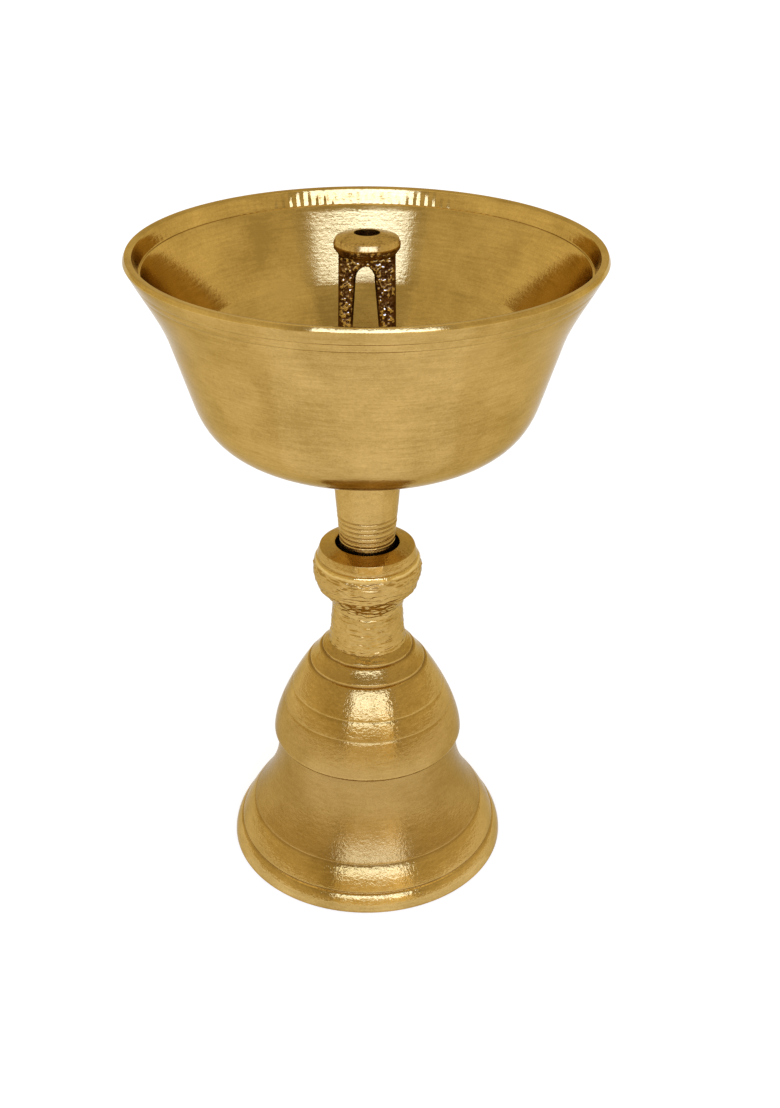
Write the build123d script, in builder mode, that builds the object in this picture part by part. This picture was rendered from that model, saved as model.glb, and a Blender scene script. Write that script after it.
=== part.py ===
"""Brass butter lamp in millimetres, +Z up, with its origin on the floor under the lamp's axis.

A hollow base carries a tapered stem, which screws into the socket in the base's collar.
The stem's upper stud passes through the floor of a flared bowl, and a two-legged wick holder
screws down on that stud, with a soft washer under its foot.
"""

import os

from build123d import *

# Base: heights of the stretches of its outline, from the floor up
foot_edge_height = 0.15
foot_band_height = 3.15
moulding_height = 5.0
bell_height = 17.1
dome_edge_height = 1.2
dome_height = 16.45
ring_height = 3.05
shoulder_cone_height = 1.55
shoulder_height = 2.55
neck_height = 5.0
underside_height = 5.1
bulge_height = 5.85
collar_facet_height = 0.65
collar_band_height = 1.85
crown_height = 0.85

# Base: radius of the neck, and how far each stretch spreads or steps from there
neck_top_radius = 7.13
neck_spread = 0.37
shoulder_spread = 0.35
shoulder_cone_spread = 1.55
ring_spread = 2.43
dome_spread = 7.42
waist_step = 0.75
bell_spread = 5.7
moulding_spread = 2.85
foot_band_spread = 1.35
collar_overhang = 2.92
bulge_spread = 0.25
collar_facet_step = 0.37
collar_band_step = 0.68

# Base: swell of its short arcs, and pulls on the ends of its long curves as (outward, upward)
foot_band_swell = 0.3
moulding_swell = 0.16
dome_edge_swell = 0.26
ring_hollow = 0.14
bell_foot_pull = (-4.05, 5.4)
bell_waist_pull = (-0.4, -6.2)
dome_edge_pull = (-0.4, 4.45)
dome_top_pull = (3.45, -5.0)
underside_neck_pull = (-0.03, 1.8)
underside_bulge_pull = (-1.5, -1.6)
bulge_foot_pull = (0.5, 1.9)
bulge_top_pull = (1.0, -1.5)

# Base: the hollow underneath
foot_ring_width = 3.6
base_wall = 3.1
hollow_top_ledge = 2.95
hollow_top_pull = (4.6, -5.2)
hollow_dome_pull = (0.0, 5.6)
hollow_waist_pull = (-0.2, -12.5)
hollow_foot_pull = (-3.7, 6.5)

# Turned grooves and scored lines: radius of the round cut, and places along their curves
groove_cut = 0.36
score_cut = 0.16
dome_score_places = (0.42, 0.625)
rim_score_places = (0.72, 0.81)

# Stem, with its tail in the base and its stud through the bowl drawn at their outside diameters
stem_reach = 20.1
stem_top_radius = 6.85
stem_shoulder = 0.8
socket_gap = 0.79
socket_depth = 8.5
socket_chamfer = 0.2
tail_radius = 4.0
tail_length = 12.0
stud_radius = 3.0
stud_grip = 6.2
thread_clearance = 0.05
thread_chamfer = 0.4
turning_ring_count = 6
turning_ring_pitch = 1.05
turning_ring_start = 0.9
turning_ring_cut = 0.14

# Bowl
bowl_height = 37.8
wall_foot_radius = 32.0
wall_lean = 3.15
wall_height = 10.5
rim_flare = 6.85
flare_height = 14.9
lip_width = 1.6
lip_slope = 0.3
lip_bevel_width = 0.26
lip_bevel_height = 0.65
rebate_depth = 3.0
rebate_taper = 0.95
ledge_width = 0.35
inner_wall_hollow = 0.05
inner_heel_rise = 8.0
inner_heel_wall = 2.0
seat_spread = 1.15
floor_thickness = 2.4
bowl_hole_clearance = 0.1
flare_rim_pull = (-2.4, -4.9)
flare_wall_pull = (1.4, 4.9)
heel_wall_pull = (-1.9, -6.6)
heel_seat_pull = (18.9, 0.0)
inner_heel_pull = (-4.7, -6.5)
inner_floor_pull = (15.0, 0.0)

# Sealing washer
washer_margin = 0.1
washer_thickness = 1.2

# Wick holder
boss_radius = 6.4
boss_height = 7.6
boss_edge = 0.8
boss_bore_room = 0.6
leg_top_width = 3.45
leg_foot_width = 2.3
leg_spread = 0.4
leg_depth = 4.2
leg_length = 23.9
leg_rounding = 1.2
leg_rounding_limit = 0.46
slot_width = 3.2
arch_crown = 1.5
cap_overhang = 0.85
cap_undercut_height = 1.1
cap_band_height = 1.7
cap_band_taper = 0.3
cap_cone_height = 0.9
wick_hole_radius = 2.27


def pulled(point, pull):
    """The control point that lies one pull away from an end point."""
    return (point[0] + pull[0], point[1] + pull[1])


def curve(start, start_pull, end_pull, end):
    """A smooth cubic stretch of an outline between two points, with a pull on each."""
    return Bezier(start, pulled(start, start_pull), pulled(end, end_pull), end)


# Corners of the base's outline, as (radius, height)
neck_radius = neck_top_radius + neck_spread
shoulder_radius = neck_radius + shoulder_spread
ring_top_radius = shoulder_radius + shoulder_cone_spread
dome_top_radius = ring_top_radius + ring_spread
dome_radius = dome_top_radius + dome_spread
waist_radius = dome_radius - waist_step
bell_radius = waist_radius + bell_spread
foot_band_radius = bell_radius + moulding_spread
foot_radius = foot_band_radius + foot_band_spread
bulge_foot_radius = neck_top_radius + collar_overhang
collar_radius = bulge_foot_radius + bulge_spread

foot_edge = (foot_radius, foot_edge_height)
foot_band_top = (foot_band_radius, foot_edge_height + foot_band_height)
bell_foot = (bell_radius, foot_band_top[1] + moulding_height)
waist = (waist_radius, bell_foot[1] + bell_height)
dome_edge = (dome_radius, waist[1] + dome_edge_height)
dome_top = (dome_top_radius, dome_edge[1] + dome_height)
ring_top = (ring_top_radius, dome_top[1] + ring_height)
shoulder = (shoulder_radius, ring_top[1] + shoulder_cone_height)
neck_foot = (neck_radius, shoulder[1] + shoulder_height)
neck_top = (neck_top_radius, neck_foot[1] + neck_height)
bulge_foot = (bulge_foot_radius, neck_top[1] + underside_height)
bulge_top = (collar_radius, bulge_foot[1] + bulge_height)
facet_top = (collar_radius - collar_facet_step, bulge_top[1] + collar_facet_height)
ridge = (facet_top[0] - collar_band_step, facet_top[1] + collar_band_height)
collar_top = ridge[1] + crown_height

# Seats of the other pieces, and the holes that take the stem
stem_seat = collar_top - socket_depth
bowl_seat = collar_top + stem_reach
bowl_floor = bowl_seat + floor_thickness
rim_top = bowl_seat + bowl_height
holder_seat = bowl_floor + washer_thickness
stud_top = holder_seat + stud_grip
stem_seat_radius = tail_radius + stem_shoulder
stem_taper = (stem_top_radius - stem_seat_radius) / (bowl_seat - stem_seat)
socket_radius = stem_seat_radius + stem_taper * socket_depth + socket_gap
tapped_radius = tail_radius + thread_clearance
bowl_hole_radius = stud_radius + bowl_hole_clearance

# Base
foot_inner = (foot_radius - foot_ring_width, 0)
hollow_waist = (waist_radius - base_wall, waist[1])
hollow_top = (tapped_radius + hollow_top_ledge, ring_top[1] - base_wall)

with BuildPart() as base:
    with BuildSketch(Plane.XZ):
        with BuildLine():
            Polyline(foot_inner, (foot_radius - foot_edge_height, 0), foot_edge)
            SagittaArc(foot_edge, foot_band_top, -foot_band_swell)
            SagittaArc(foot_band_top, bell_foot, -moulding_swell)
            curve(bell_foot, bell_foot_pull, bell_waist_pull, waist)
            SagittaArc(waist, dome_edge, -dome_edge_swell)
            dome = curve(dome_edge, dome_edge_pull, dome_top_pull, dome_top)
            SagittaArc(dome_top, ring_top, ring_hollow)
            Polyline(ring_top, shoulder, neck_foot, neck_top)
            curve(neck_top, underside_neck_pull, underside_bulge_pull, bulge_foot)
            curve(bulge_foot, bulge_foot_pull, bulge_top_pull, bulge_top)
            Polyline(
                bulge_top,
                facet_top,
                ridge,
                (socket_radius + socket_chamfer, collar_top),
                (socket_radius, collar_top - socket_chamfer),
                (socket_radius, stem_seat),
                (tapped_radius, stem_seat),
                (tapped_radius, hollow_top[1]),
                hollow_top,
            )
            curve(hollow_top, hollow_top_pull, hollow_dome_pull, hollow_waist)
            curve(hollow_waist, hollow_waist_pull, hollow_foot_pull, foot_inner)
        make_face()
    revolve(axis=Axis.Z)
    # Grooves at the steps of the outline, and finer lines on the dome and the bell
    with BuildSketch(Plane.XZ):
        with Locations(foot_band_top, dome_top, ring_top, facet_top):
            Circle(groove_cut)
        with Locations(bell_foot, *[dome @ place for place in dome_score_places]):
            Circle(score_cut)
    revolve(axis=Axis.Z, mode=Mode.SUBTRACT)

# Stem
tail_end = stem_seat - tail_length

with BuildPart() as stem:
    with BuildSketch(Plane.XZ):
        with BuildLine():
            Polyline(
                (0, stud_top),
                (0, tail_end),
                (tail_radius - thread_chamfer, tail_end),
                (tail_radius, tail_end + thread_chamfer),
                (tail_radius, stem_seat),
                (stem_seat_radius, stem_seat),
                (stem_top_radius, bowl_seat),
                (stud_radius, bowl_seat),
                (stud_radius, stud_top - thread_chamfer),
                (stud_radius - thread_chamfer, stud_top),
                (0, stud_top),
            )
        make_face()
    revolve(axis=Axis.Z)
    # Coarse turning rings round the stretch just above the collar
    first_ring = socket_depth + turning_ring_start
    ring_rises = [first_ring + turning_ring_pitch * count for count in range(turning_ring_count)]
    with BuildSketch(Plane.XZ):
        with Locations(*[(stem_seat_radius + stem_taper * rise, stem_seat + rise) for rise in ring_rises]):
            Circle(turning_ring_cut)
    revolve(axis=Axis.Z, mode=Mode.SUBTRACT)

# Bowl: corners of its outside, of the lip and of its inside
wall_top_height = rim_top - flare_height
wall_foot_height = wall_top_height - wall_height
wall_top_radius = wall_foot_radius + wall_lean
rim_radius = wall_top_radius + rim_flare
lip_radius = rim_radius - lip_width
ledge_height = rim_top - rebate_depth
flat_radius = stem_top_radius + seat_spread
wall_foot = (wall_foot_radius, wall_foot_height)
wall_top = (wall_top_radius, wall_top_height)
rim = (rim_radius, rim_top - lip_bevel_height)
ledge = (lip_radius - rebate_taper - ledge_width, ledge_height)
heel_outer_radius = wall_foot_radius + wall_lean * inner_heel_rise / wall_height
inner_heel = (heel_outer_radius - inner_heel_wall, wall_foot_height + inner_heel_rise)

with BuildPart() as bowl:
    with BuildSketch(Plane.XZ):
        with BuildLine():
            Line((bowl_hole_radius, bowl_seat), (flat_radius, bowl_seat))
            curve((flat_radius, bowl_seat), heel_seat_pull, heel_wall_pull, wall_foot)
            Line(wall_foot, wall_top)
            flare = curve(wall_top, flare_wall_pull, flare_rim_pull, rim)
            Polyline(
                rim,
                (rim_radius - lip_bevel_width, rim_top),
                (lip_radius, rim_top - lip_slope),
                (lip_radius - rebate_taper, ledge_height),
                ledge,
            )
            SagittaArc(ledge, inner_heel, inner_wall_hollow)
            curve(inner_heel, inner_heel_pull, inner_floor_pull, (flat_radius, bowl_floor))
            Polyline(
                (flat_radius, bowl_floor),
                (bowl_hole_radius, bowl_floor),
                (bowl_hole_radius, bowl_seat),
            )
        make_face()
    revolve(axis=Axis.Z)
    # Two scored lines outside, under the lip
    with BuildSketch(Plane.XZ):
        with Locations(*[flare @ place for place in rim_score_places]):
            Circle(score_cut)
    revolve(axis=Axis.Z, mode=Mode.SUBTRACT)

# Sealing washer
with BuildPart() as sealing_washer:
    with BuildSketch(Plane.XY.offset(bowl_floor)):
        Circle(boss_radius + washer_margin)
        Circle(bowl_hole_radius, mode=Mode.SUBTRACT)
    extrude(amount=washer_thickness)

# Wick holder
boss_top = holder_seat + boss_height
arch_top = boss_top + leg_length
arch_spring = arch_top - slot_width / 2
neck_low = arch_top + arch_crown
cap_low = neck_low + cap_undercut_height
cap_ridge = cap_low + cap_band_height
cap_top = cap_ridge + cap_cone_height
leg_reach = slot_width / 2 + leg_top_width
leg_foot_reach = leg_reach + leg_spread
slot_foot_reach = leg_foot_reach - leg_foot_width
cap_radius = leg_reach + cap_overhang
leg_round = min(leg_rounding, leg_rounding_limit * min(leg_foot_width, leg_top_width, leg_depth))

with BuildPart() as wick_holder:
    # Legs: an arched plate that spreads towards the foot with its slot, rounded along its long edges
    with BuildSketch(Plane.XZ):
        with BuildLine():
            Polyline(
                (-slot_width / 2, arch_spring),
                (-slot_foot_reach, boss_top),
                (-slot_foot_reach, boss_top - boss_edge),
                (-leg_foot_reach, boss_top - boss_edge),
                (-leg_reach, neck_low),
                (-leg_reach, cap_low),
                (leg_reach, cap_low),
                (leg_reach, neck_low),
                (leg_foot_reach, boss_top - boss_edge),
                (slot_foot_reach, boss_top - boss_edge),
                (slot_foot_reach, boss_top),
                (slot_width / 2, arch_spring),
            )
            ThreePointArc((slot_width / 2, arch_spring), (0, arch_top), (-slot_width / 2, arch_spring))
        make_face()
    extrude(amount=leg_depth / 2, both=True)
    long_edges = edges().filter_by(Axis.Y, reverse=True).filter_by(Axis.X, reverse=True)
    fillet(long_edges, leg_round)
    # Foot boss, and the neck with its cap
    with BuildSketch(Plane.XZ):
        with BuildLine():
            Polyline(
                (0, boss_top),
                (0, holder_seat),
                (boss_radius, holder_seat),
                (boss_radius, boss_top - boss_edge),
                (boss_radius - boss_edge, boss_top),
                (0, boss_top),
            )
        make_face()
        with BuildLine():
            Polyline(
                (0, cap_top),
                (0, neck_low),
                (leg_reach, neck_low),
                (cap_radius, cap_low),
                (cap_radius - cap_band_taper, cap_ridge),
                (wick_hole_radius, cap_top),
                (0, cap_top),
            )
        make_face()
    revolve(axis=Axis.Z)
    # Tapped hole in the foot, and the wick's hole down to the slot
    with BuildSketch(Plane.XY.offset(holder_seat)):
        Circle(stud_radius + thread_clearance)
    extrude(amount=stud_grip + boss_bore_room, mode=Mode.SUBTRACT)
    with BuildSketch(Plane.XY.offset(arch_spring)):
        Circle(wick_hole_radius)
    extrude(amount=cap_top - arch_spring, mode=Mode.SUBTRACT)

base.part.label = "base"
stem.part.label = "stem"
bowl.part.label = "bowl"
sealing_washer.part.label = "sealing_washer"
wick_holder.part.label = "wick_holder"

os.makedirs("parts", exist_ok=True)
export_step(base.part, "parts/base.step")
export_step(stem.part, "parts/stem.step")
export_step(bowl.part, "parts/bowl.step")
export_step(sealing_washer.part, "parts/sealing_washer.step")
export_step(wick_holder.part, "parts/wick_holder.step")
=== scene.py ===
"""Looks of the brass butter lamp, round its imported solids, in one frame of metres with +Z up.

The turned pieces are lathed finely from the outlines of their solids, with their grooves, threads,
turning rings and tool chatter. The wick holder is a rough casting with a turned cap.
"""

import math

import bmesh
import bpy
import numpy as np
from mathutils import Matrix, Vector


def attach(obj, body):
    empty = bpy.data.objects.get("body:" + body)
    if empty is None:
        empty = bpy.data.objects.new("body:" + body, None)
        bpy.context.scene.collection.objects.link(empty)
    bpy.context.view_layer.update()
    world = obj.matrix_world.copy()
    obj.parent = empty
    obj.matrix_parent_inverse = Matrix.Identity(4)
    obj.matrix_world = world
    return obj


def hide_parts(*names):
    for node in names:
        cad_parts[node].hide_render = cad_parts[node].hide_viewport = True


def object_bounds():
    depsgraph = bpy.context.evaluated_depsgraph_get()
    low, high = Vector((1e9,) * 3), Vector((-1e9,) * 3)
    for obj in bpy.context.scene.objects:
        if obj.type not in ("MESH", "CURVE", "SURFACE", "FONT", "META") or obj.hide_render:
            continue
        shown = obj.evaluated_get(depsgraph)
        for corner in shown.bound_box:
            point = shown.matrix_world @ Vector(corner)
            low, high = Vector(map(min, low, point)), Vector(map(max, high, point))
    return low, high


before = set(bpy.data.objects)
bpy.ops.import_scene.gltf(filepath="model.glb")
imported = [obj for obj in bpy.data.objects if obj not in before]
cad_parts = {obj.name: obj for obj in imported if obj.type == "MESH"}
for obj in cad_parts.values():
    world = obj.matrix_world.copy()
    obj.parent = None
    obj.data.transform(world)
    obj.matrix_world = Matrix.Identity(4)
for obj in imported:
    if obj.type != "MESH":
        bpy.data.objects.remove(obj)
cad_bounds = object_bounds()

# Outlines and marks are in millimetres
MM = 0.001

# Base: corners of its outline as (radius, height), from the foot up and then down inside
FOOT_INNER = (24.8, 0.0)
FOOT_CORNER = (28.25, 0.0)
FOOT_EDGE = (28.4, 0.15)
FOOT_BAND_TOP = (26.86, 3.74)
BELL_FOOT = (24.2, 8.3)
WAIST = (18.5, 25.4)
DOME_EDGE = (19.25, 26.6)
DOME_TOP = (11.83, 43.05)
RING_TOP = (9.4, 46.1)
SHOULDER = (7.85, 47.65)
NECK_FOOT = (7.5, 50.2)
NECK_TOP = (7.13, 55.2)
BULGE_FOOT = (10.05, 60.3)
BULGE_TOP = (10.42, 65.85)
FACET_TOP = (9.86, 66.8)
RIDGE = (9.25, 68.65)
SOCKET_RIM = (6.4, 69.5)
SOCKET_EDGE = (6.2, 69.3)
STEM_SEAT = 61.0
TAPPED_RADIUS = 4.05
HOLLOW_TOP = (7.0, 43.0)
HOLLOW_WAIST = (15.4, 25.4)

# Base: swell of its short arcs, and pulls at the ends of its curves
FOOT_BAND_SWELL = 0.34
MOULDING_SWELL = 0.16
RING_HOLLOW = 0.14
DOME_EDGE_SWELL = 0.26
BELL_PULLS = ((-4.05, 5.4), (-0.4, -6.2))
DOME_PULLS = ((-0.4, 4.45), (3.45, -5.0))
UNDERSIDE_PULLS = ((-0.03, 1.8), (-1.5, -1.6))
BULGE_PULLS = ((0.5, 1.9), (1.0, -1.5))
HOLLOW_TOP_PULLS = ((4.6, -5.2), (0.0, 5.6))
HOLLOW_FOOT_PULLS = ((-0.2, -12.5), (-3.7, 6.5))

# Stem
TAIL_END = 49.0
TAIL_RADIUS = 4.0
STEM_SEAT_RADIUS = 4.8
STEM_TOP_RADIUS = 6.85
BOWL_SEAT = 89.6
STUD_RADIUS = 3.0
STUD_TOP = 99.4
THREAD_CHAMFER = 0.4
THREAD_END_RADIUS = 1.0
TAIL_PITCH = 1.25
TAIL_THREAD_DEPTH = 0.62
STUD_PITCH = 1.0
STUD_THREAD_DEPTH = 0.5
THREAD_FLAT = 1.15
THREAD_SLOPE = 1.3
THREAD_MATCH = 0.01
TURNING_RING_COUNT = 6
TURNING_RING_START = 70.4
TURNING_RING_PITCH = 1.05
TURNING_RING_CUT = 0.14
RING_MARK_HEIGHT = 9.0

# Bowl
BOWL_HOLE_RADIUS = 3.1
FLAT_RADIUS = 8.0
WALL_FOOT = (32.0, 102.0)
WALL_TOP = (35.15, 112.5)
RIM = (42.0, 126.62)
LIP_CREST = (41.63, 127.4)
LIP_INNER = (40.4, 127.2)
LEDGE_OUTER = (39.45, 124.4)
LEDGE_INNER = (39.1, 124.4)
INNER_HEEL = (32.4, 110.0)
BOWL_FLOOR = 92.0
HEEL_PULLS = ((18.9, 0.0), (-1.9, -6.6))
FLARE_PULLS = ((1.4, 4.9), (-2.4, -4.9))
INNER_PULLS = ((-4.7, -6.5), (15.0, 0.0))
INNER_WALL_HOLLOW = 0.05

# Grooves and scored lines: how deep and wide they are, and their places along their curves
GROOVE_DEPTH = 0.28
GROOVE_REACH = 0.5
SCORE_DEPTH = 0.09
SCORE_WIDTH = 0.45
SCORE_STEP = 0.12
GROOVES = ((FOOT_BAND_TOP, 0.6), (DOME_TOP, 1.0), (RING_TOP, 1.0), (FACET_TOP, 0.55))
DOME_SCORES = (0.42, 0.625)
RIM_SCORES = (0.72, 0.81)

# Sealing washer
WASHER_RADIUS = 6.5
WASHER_TOP = 93.2
WASHER_EDGE = 0.25

# Wick holder
BOSS_RADIUS = 6.4
BOSS_TOP = 100.8
BOSS_EDGE = 0.8
BORE_RADIUS = 3.05
BORE_TOP = 100.0
LEG_OUTER = 5.05
LEG_FOOT_OUTER = 5.45
LEG_DEPTH = 4.2
LEG_ROUND = 1.05
LEG_ROOT = 100.0
ARCH_SPRING = 121.9
ARCH_TOP = 123.9
SLOT_TOP = (-1.9, 1.2)
SLOT_FOOT = (-3.3, 3.1)
NECK_LOW = 126.2
CAP_RADIUS = 5.9
CAP_LOW = 127.3
CAP_SHOULDER = (5.88, 128.06)
CAP_RIDGE = (5.5, 129.03)
CAP_ROOT = 127.8
CAP_ROOT_RADIUS = 5.4
CAP_TOP = 129.9
DRILL_END_RADIUS = 0.5
WICK_HOLE_RADIUS = 2.27
WICK_PASS_RADIUS = 1.7
SKIN_HIGH = 127.9

# How finely the outlines are drawn
CURVE_POINTS = 60
FINE_STEP = 0.02
EDGE_EASE = 0.06
RING_TURN = math.radians(13)
PLAIN_SPACING = 0.7
INSIDE_SPACING = 1.6
BOWL_SPACING = 1.6
ROUGH_SPACING = 0.17
THREAD_SPACING = 0.2
WASHER_SPACING = 0.4
WASHER_EDGE_SPACING = 0.2
CAP_SPACING = 0.3
BASE_SEGMENTS = 200
STEM_SEGMENTS = 192
BOWL_SEGMENTS = 640
WASHER_SEGMENTS = 128
HOLDER_SEGMENTS = 96
CAP_SEGMENTS = 180
HOLDER_VOXEL = 0.15
HOLDER_EASE_PASSES = 2
ARCH_POINTS = 17
LEG_ROUND_STEPS = 6

# Tool marks: depth, and length round the piece and along its outline
CHATTER_DEPTH = 0.55
CHATTER_SIZES = ((1.5, 0.36), (0.75, 0.22))
CHATTER_SHARES = (0.65, 0.35)
CHATTER_SHOULDER = 0.2
CHATTER_NECK = 0.7
CHATTER_DARKENING = 0.15
BAR_DEPTH = 0.1
BAR_SEGMENTS = 2
BAR_LEAST_TILT = 0.1
BAR_LEAST_SIDE = 0.15
RING_MARK_DEPTH = 0.06
RING_MARK_SIZE = (5.0, 0.5)
FIBRE_DEPTH = 0.03
FIBRE_SIZE = (0.8, 0.4)
SKIN_DEPTH = 0.24
SKIN_SIZES = (0.38, 0.23)
SKIN_SHARES = (0.6, 0.4)
SKIN_SINK = 0.35
SKIN_FLANK = 0.15
SKIN_FACE_POWER = 6
SKIN_EDGE = 0.25
SKIN_EDGE_CELLS = (1.1, 1.1, 0.2)
NOISE_CELLS = 48

# Seeds of the random marks
CHATTER_SEED = 11
RING_MARK_SEED = 23
BAR_SEED = 37
FIBRE_SEED = 41
SKIN_EDGE_SEED = 53
SKIN_SEEDS = (59, 61)

# Photograph's frame in pixels, and the camera that took it
PHOTO_HEIGHT = 1108
FOCAL_PIXELS = 1384.7
SENSOR = 36.0
CAMERA_PLACE = (0.0, -0.2360, 0.1970)
CAMERA_PITCH = math.radians(28.95)
CAMERA_YAW = math.radians(1.07)
CAMERA_ROLL = math.radians(0.46)
CLIP_START = 0.01


def cubic(start, pulls, end):
    """Points of a smooth curve between two corners, with a pull at each."""
    share = np.linspace(0, 1, CURVE_POINTS)[:, None]
    back = 1 - share
    start = np.array(start)
    end = np.array(end)
    first = start + pulls[0]
    last = end + pulls[1]
    return back**3 * start + 3 * back**2 * share * first + 3 * back * share**2 * last + share**3 * end


def bowed(start, end, swell):
    """Points of a shallow arc between two corners that stands out by swell at its middle."""
    share = np.linspace(0, 1, CURVE_POINTS)[:, None]
    start = np.array(start)
    end = np.array(end)
    run, rise = end - start
    outward = np.array((rise, -run)) / math.hypot(run, rise)
    return start + share * (end - start) + 4 * swell * share * (1 - share) * outward


def stretch(points, spacing=PLAIN_SPACING, rough=0.0, dull=0.0):
    """A stretch of outline, with the spacing of its rings and how rough and dull it was left; dull below
    0 is a smoother polish that is also painted a paler colour, as painted light.
    """
    points = np.array(points, float)
    values = [np.broadcast_to(value, len(points)) for value in (spacing, rough, dull)]
    return np.column_stack([points] + values)


def lengths_along(points):
    """Length of the way to each point."""
    steps = np.diff(points[:, :2], axis=0)
    return np.concatenate(([0], np.cumsum(np.hypot(steps[:, 0], steps[:, 1]))))


def normals(points):
    """Unit normals that point out of the piece, on the right of the outline's way."""
    tangent = np.gradient(points, axis=0)
    tangent /= np.linalg.norm(tangent, axis=1, keepdims=True)
    return np.column_stack([tangent[:, 1], -tangent[:, 0]])


def eased(points, closed):
    """The outline with its corners worn round."""
    reach = int(3 * EDGE_EASE / FINE_STEP)
    weights = np.exp(-0.5 * (np.arange(-reach, reach + 1) * FINE_STEP / EDGE_EASE) ** 2)
    weights /= weights.sum()
    if closed:
        wide = np.vstack([points[-reach - 1 : -1], points, points[1 : reach + 1]])
    else:
        wide = np.pad(points, ((reach, reach), (0, 0)), mode="reflect", reflect_type="odd")
    return np.column_stack([np.convolve(wide[:, k], weights, mode="valid") for k in (0, 1)])


def groove(gap):
    """Depth of a wide groove with round lips, by the gap along the outline from its middle."""
    share = np.clip(np.abs(gap) / GROOVE_REACH, 0, 1)
    return GROOVE_DEPTH * (1 + np.cos(math.pi * share)) / 2


def score(gap):
    """Depth of a scored line: a narrow slope that leads up to a sharp step."""
    slope = np.clip(gap / SCORE_WIDTH, 0, 1)
    step = np.clip((SCORE_WIDTH + SCORE_STEP - gap) / SCORE_STEP, 0, 1)
    return SCORE_DEPTH * slope * step


def nick(gap):
    """Depth of a thin round turning ring."""
    return np.sqrt(np.clip(TURNING_RING_CUT**2 - gap**2, 0, None))


def rings(stretches, cuts=(), closed=True):
    """Rings of a turned piece: radius, height, roughness, length along, depth of cut and dullness."""
    line = np.vstack(stretches)
    if closed:
        line = np.vstack([line, line[:1]])
    along = lengths_along(line)
    marks = np.linspace(0, along[-1], int(along[-1] / FINE_STEP))
    line = np.column_stack([np.interp(marks, along, column) for column in line.T])
    depth = np.zeros(len(line))
    for centre, shape, size in cuts:
        nearest = np.argmin(np.hypot(line[:, 0] - centre[0], line[:, 1] - centre[1]))
        depth = np.maximum(depth, size * shape((marks - marks[nearest]) / size))
    line[:, :2] -= normals(line[:, :2]) * depth[:, None]
    line[:, :2] = eased(line[:, :2], closed)
    # Rings lie closer where the outline turns
    along = lengths_along(line)
    steps = np.diff(line[:, :2], axis=0)
    heading = np.unwrap(np.arctan2(steps[:, 1], steps[:, 0]))
    bend = np.abs(np.diff(heading, append=heading[-1]))
    ticks = np.concatenate(([0], np.cumsum(np.diff(along) / line[:-1, 2] + bend / RING_TURN)))
    picks = np.linspace(0, ticks[-1], int(ticks[-1]) + 2)
    columns = (line[:, 0], line[:, 1], line[:, 3], along, depth, line[:, 4])
    rows = np.column_stack([np.interp(picks, ticks, column) for column in columns])
    return rows[:-1] if closed else rows


def grain(points, seed):
    """Smooth random values from -1 to 1 at points, in cells one unit across."""
    table = np.random.default_rng(seed).uniform(-1, 1, (NOISE_CELLS,) * 3)
    low = np.floor(points).astype(int)
    part = points - low
    part = part * part * (3 - 2 * part)
    total = 0
    for corner in np.ndindex(2, 2, 2):
        cell = (low + corner) % NOISE_CELLS
        weight = np.prod(np.where(corner, part, 1 - part), axis=-1)
        total = total + weight * table[cell[..., 0], cell[..., 1], cell[..., 2]]
    return total


def round_grain(rows, turn, size, seed):
    """Random values on a turned surface, in cells sized round the piece and along its outline."""
    around, tall = size
    x = rows[:, 0, None] * np.cos(turn) / around
    y = rows[:, 0, None] * np.sin(turn) / around
    z = np.broadcast_to(rows[:, 3, None] / tall, x.shape)
    return grain(np.stack([x, y, z], axis=-1), seed)


def thread(rows, turn, radius, pitch, depth):
    """Depth of a right-hand thread, cut only where the outline has that radius."""
    place = (rows[:, 1, None] / pitch - turn / (2 * math.pi)) % 1
    cut = np.clip(THREAD_FLAT - np.abs(2 * place - 1) * THREAD_SLOPE, 0, 1)
    return depth * cut * np.isclose(rows[:, 0], radius, atol=THREAD_MATCH)[:, None]


def lathe_mesh(name, rows, segments, closed=True, marks=None):
    """A turned mesh in millimetres, cut in by marks(rows, turn)."""
    turn = np.linspace(0, 2 * math.pi, segments, endpoint=False)
    outline = np.vstack([rows[-1:], rows, rows[:1]])[:, :2] if closed else rows[:, :2]
    out = normals(outline)[1:-1] if closed else normals(outline)
    depth = marks(rows, turn) if marks else np.zeros((len(rows), segments))
    radius = rows[:, 0, None] - out[:, 0, None] * depth
    height = rows[:, 1, None] - out[:, 1, None] * depth
    points = np.stack([radius * np.cos(turn), radius * np.sin(turn), height], axis=-1).reshape(-1, 3)
    index = np.arange(len(points)).reshape(len(rows), segments)
    upper = np.roll(index, -1, axis=0) if closed else index[1:]
    lower = index if closed else index[:-1]
    quads = np.stack([lower, np.roll(lower, -1, 1), np.roll(upper, -1, 1), upper], axis=-1)
    faces = quads.reshape(-1, 4).tolist()
    if not closed:
        faces += [index[0, ::-1].tolist(), index[-1].tolist()]
    mesh = bpy.data.meshes.new(name)
    mesh.from_pydata(points, [], faces)
    values = {"along": np.repeat(rows[:, 3], segments), "dull": np.repeat(rows[:, 5], segments)}
    # How much darker the colour is made: by the depth of the chatter and of the grooves
    values["cut"] = (CHATTER_DARKENING * depth + rows[:, 4, None]).ravel()
    for key, value in values.items():
        mesh.attributes.new(key, "FLOAT", "POINT").data.foreach_set("value", value)
    return mesh


def mesh_object(name, mesh):
    """A linked object for a mesh."""
    made = bpy.data.objects.new(name, mesh)
    bpy.context.scene.collection.objects.link(made)
    return made


def piece(name, mesh, body, material):
    """A mesh in millimetres as a shown piece that rides on a body and stands for its node."""
    mesh.transform(Matrix.Scale(MM, 4))
    mesh.polygons.foreach_set("use_smooth", [True] * len(mesh.polygons))
    mesh.materials.append(material)
    made = mesh_object(name, mesh)
    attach(made, body)
    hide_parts(body)


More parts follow.
